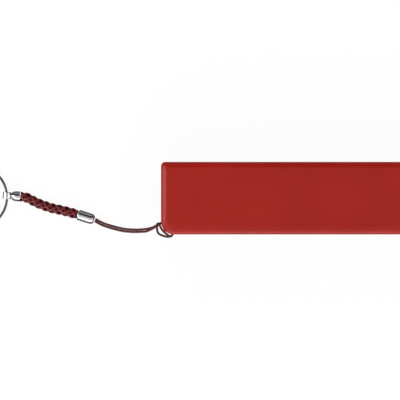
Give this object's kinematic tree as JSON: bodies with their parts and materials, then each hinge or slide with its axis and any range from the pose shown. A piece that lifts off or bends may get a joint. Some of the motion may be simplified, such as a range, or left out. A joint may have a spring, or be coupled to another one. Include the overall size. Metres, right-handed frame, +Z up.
{
  "type": "keychain flashlight",
  "caption": "Slim stick torch with a rounded strap corner, a push button, a lens at one end and a short braided strap that ends in a split key ring.",
  "frame": {"origin": "middle of the case's footprint on the surface it lies on", "axes": "+X along the case towards the lens, +Z up out of the button's face"},
  "size_m": [0.1675, 0.0251, 0.0223],
  "materials": {
    "red_shell": "satin",
    "red_button": "satin",
    "chrome_fitting": "polished",
    "ring_steel": "polished",
    "screw_steel": "blackened",
    "nickel": "plated",
    "aluminium": "satin",
    "reflector_mirror": "polished",
    "clear_plastic": "polished",
    "black_rubber": "matte",
    "cell_wrap": "wrapped",
    "insulating_paper": "matte",
    "green_board": "satin",
    "white_board": "satin",
    "phosphor": "satin",
    "black_plastic": "matte",
    "ferrite": "matte",
    "chip_ceramic": "satin",
    "red_wire": "satin",
    "black_wire": "satin",
    "strap_cord": "woven",
    "braid_cord": "braided"
  },
  "bodies": {
    "case": {"upper_shell": "red_shell", "lower_shell": "red_shell", "case_screw_tail_left": "screw_steel", "case_screw_tail_right": "screw_steel", "case_screw_head_left": "screw_steel", "case_screw_head_right": "screw_steel", "lens_bezel": "aluminium", "lens_gasket": "black_rubber", "lens": "clear_plastic", "reflector": "reflector_mirror", "led_emitter": "phosphor", "led_board": "white_board", "heat_sink": "aluminium", "led_lead_positive": "red_wire", "led_lead_negative": "black_wire", "battery_cell": "cell_wrap", "cell_insulator": "insulating_paper", "negative_contact": "nickel", "contact_spring": "nickel", "positive_contact": "nickel", "cell_lead": "nickel", "control_board": "green_board", "board_screw_left": "screw_steel", "board_screw_right": "screw_steel", "controller_chip": "black_plastic", "charger_chip": "black_plastic", "inductor": "ferrite", "capacitor_input": "chip_ceramic", "capacitor_output": "chip_ceramic", "status_led": "phosphor", "light_pipe": "clear_plastic", "charging_socket": "nickel", "socket_tongue": "black_plastic", "switch_body": "black_plastic", "strap_cord": "strap_cord", "cord_ferrule": "chrome_fitting", "strap_braid": "braid_cord", "ring_ferrule": "chrome_fitting"},
    "button": {"push_button": "red_button"},
    "plunger": {"switch_plunger": "black_rubber"},
    "ring": {"key_ring": "ring_steel"}
  },
  "joints": [
    {"name": "button_press", "type": "slide", "parent": "case", "child": "button", "axis": [0, 0, -1], "range_m": [0, 0.0005], "stiffness_N_per_m": 800, "springref_m": -0.0005},
    {"name": "plunger_press", "type": "slide", "parent": "case", "child": "plunger", "axis": [0, 0, -1], "range_m": [0, 0.0005]},
    {"name": "ring_swing", "type": "hinge", "parent": "case", "child": "ring", "pos_m": [-0.0988, 0.0009, 0.00145], "axis": [-0.0523, 0.9986, 0], "range_deg": [-150, 150]}
  ],
  "couplings": [
    {"joint": "plunger_press", "follows": "button_press", "ratio": 1}
  ]
}
